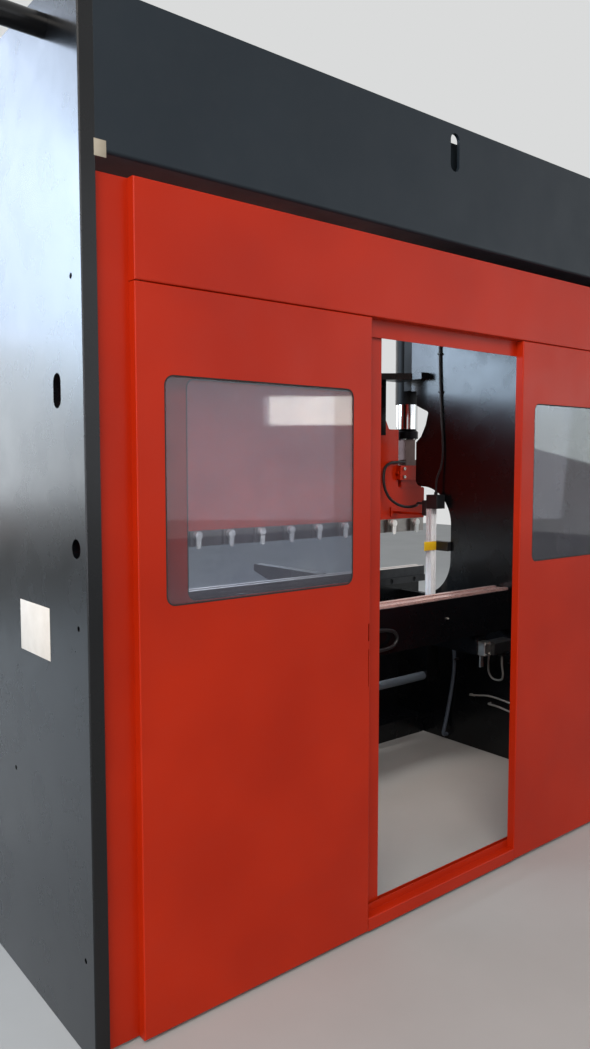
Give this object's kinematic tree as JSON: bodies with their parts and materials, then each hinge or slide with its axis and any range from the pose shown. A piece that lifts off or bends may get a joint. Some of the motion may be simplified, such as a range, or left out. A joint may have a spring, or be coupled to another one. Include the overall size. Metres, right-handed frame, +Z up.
{
  "type": "press brake",
  "caption": "Hydraulic press brake seen from behind: red sheet metal guard with windows and a sliding door, dark side frames, ram and backgauge inside.",
  "frame": {"origin": "floor, on the centre plane, half way between the rear guard and the tips of the front supports", "axes": "+X along the bending line to the operator's right, +Y to the rear guard, +Z up"},
  "size_m": [3.28, 2.22, 2.715],
  "materials": {
    "black_paint": "near-black gloss paint with fine orange peel",
    "slate_paint": "dark slate satin powder coat",
    "red_paint": "red satin powder coat",
    "steel": "ground tool steel, lightly oiled",
    "chrome": "hard chrome, polished",
    "aluminium": "plain extruded aluminium",
    "pane": "clear plastic guard pane",
    "black_plastic": "black housing plastic",
    "cable": "black cable sheath",
    "light_cable": "light grey cable sheath",
    "grey_paint": "light grey satin powder coat"
  },
  "bodies": {
    "frame": {"side_frame_right": "black_paint", "side_frame_left": "black_paint", "lifting_pins": "steel", "rear_cross_plate": "slate_paint", "front_cross_beam": "slate_paint", "oil_tank": "slate_paint", "pump_motor": "black_paint", "table_plate": "black_paint", "table_tie_beam": "black_paint", "die_holder": "steel", "v_die": "steel", "cylinders": "black_paint", "valve_blocks": "steel", "hydraulic_pipes": "steel", "ram_guides": "black_paint", "guard_header": "red_paint", "guard_panel_right": "red_paint", "guard_panel_left": "red_paint", "filler_strips": "red_paint", "window_panes": "pane", "door_track": "red_paint", "door_sill": "red_paint", "depth_guides": "black_paint", "guide_end_blocks": "aluminium", "gauge_motors": "black_plastic", "tie_tube": "grey_paint", "linear_scales": "aluminium", "scale_blocks": "black_plastic", "scale_cable": "cable", "conduit": "cable", "motor_cable": "light_cable", "electrical_cabinet": "grey_paint", "support_rail": "steel"},
    "ram_body": {"ram": "red_paint", "tool_holder": "steel", "tool_clamps": "steel", "clamp_screws": "chrome", "piston_rods": "chrome", "ram_links": "steel", "link_brackets": "red_paint", "scale_heads": "black_plastic", "loop_cable": "cable"},
    "door": {"sliding_door": "red_paint", "door_window": "pane", "door_hangers": "steel"},
    "roller_inner": {"door_roller_inner": "black_plastic"},
    "roller_outer": {"door_roller_outer": "black_plastic"},
    "gauge": {"gauge_beam": "black_paint", "gauge_rails": "steel", "gauge_carriages": "black_paint", "gauge_cable": "cable"},
    "finger_right_unit": {"finger_right": "steel"},
    "finger_left_unit": {"finger_left": "steel"},
    "screw_right": {"ball_screw_right": "steel"},
    "screw_left": {"ball_screw_left": "steel"},
    "cabinet_leaf": {"cabinet_door": "grey_paint"},
    "pendant_arm_body": {"pendant_arm": "grey_paint"},
    "pendant": {"pendant_box": "grey_paint"},
    "support_right": {"support_arm_right": "black_paint"},
    "support_left": {"support_arm_left": "black_paint"}
  },
  "joints": [
    {"name": "ram_slide", "type": "slide", "parent": "frame", "child": "ram_body", "axis": [0, 0, 1], "range_m": [-0.155, 0.03]},
    {"name": "door_slide", "type": "slide", "parent": "frame", "child": "door", "axis": [-1, 0, 0], "range_m": [0, 0.706]},
    {"name": "roller_inner_spin", "type": "hinge", "parent": "door", "child": "roller_inner", "pos_m": [0.426, 1.036, 1.9993], "axis": [0, -1, 0], "range_deg": [0, 1650]},
    {"name": "roller_outer_spin", "type": "hinge", "parent": "door", "child": "roller_outer", "pos_m": [0.986, 1.036, 1.9993], "axis": [0, -1, 0], "range_deg": [0, 1650]},
    {"name": "gauge_depth", "type": "slide", "parent": "frame", "child": "gauge", "axis": [0, -1, 0], "range_m": [0, 0.36]},
    {"name": "finger_right_slide", "type": "slide", "parent": "gauge", "child": "finger_right_unit", "axis": [1, 0, 0], "range_m": [-0.7, 0.2]},
    {"name": "finger_left_slide", "type": "slide", "parent": "gauge", "child": "finger_left_unit", "axis": [1, 0, 0], "range_m": [-1.2, 0.05]},
    {"name": "screw_right_spin", "type": "hinge", "parent": "frame", "child": "screw_right", "pos_m": [1.083, 0.39, 0.618], "axis": [0, -1, 0], "range_deg": [0, 6480.5]},
    {"name": "screw_left_spin", "type": "hinge", "parent": "frame", "child": "screw_left", "pos_m": [-1.083, 0.39, 0.618], "axis": [0, -1, 0], "range_deg": [0, 6480.5]},
    {"name": "cabinet_hinge", "type": "hinge", "parent": "frame", "child": "cabinet_leaf", "pos_m": [-1.6103, 0.768, 0.85], "axis": [0, 0, -1], "range_deg": [0, 110]},
    {"name": "pendant_arm_hinge", "type": "hinge", "parent": "frame", "child": "pendant_arm_body", "pos_m": [1.4, -0.14, 2.56], "axis": [0, 0, 1], "range_deg": [-20, 90]},
    {"name": "pendant_turn", "type": "hinge", "parent": "pendant_arm_body", "child": "pendant", "pos_m": [1.4, -0.79, 1.86], "axis": [0, 0, 1], "range_deg": [-90, 90]},
    {"name": "support_right_slide", "type": "slide", "parent": "frame", "child": "support_right", "axis": [1, 0, 0], "range_m": [-0.7, 0.55]},
    {"name": "support_left_slide", "type": "slide", "parent": "frame", "child": "support_left", "axis": [1, 0, 0], "range_m": [-0.55, 0.7]}
  ],
  "couplings": [
    {"joint": "roller_inner_spin", "follows": "door_slide", "rad_per_m": 40},
    {"joint": "roller_outer_spin", "follows": "door_slide", "rad_per_m": 40},
    {"joint": "screw_right_spin", "follows": "gauge_depth", "rad_per_m": 314.16},
    {"joint": "screw_left_spin", "follows": "gauge_depth", "rad_per_m": 314.16}
  ]
}
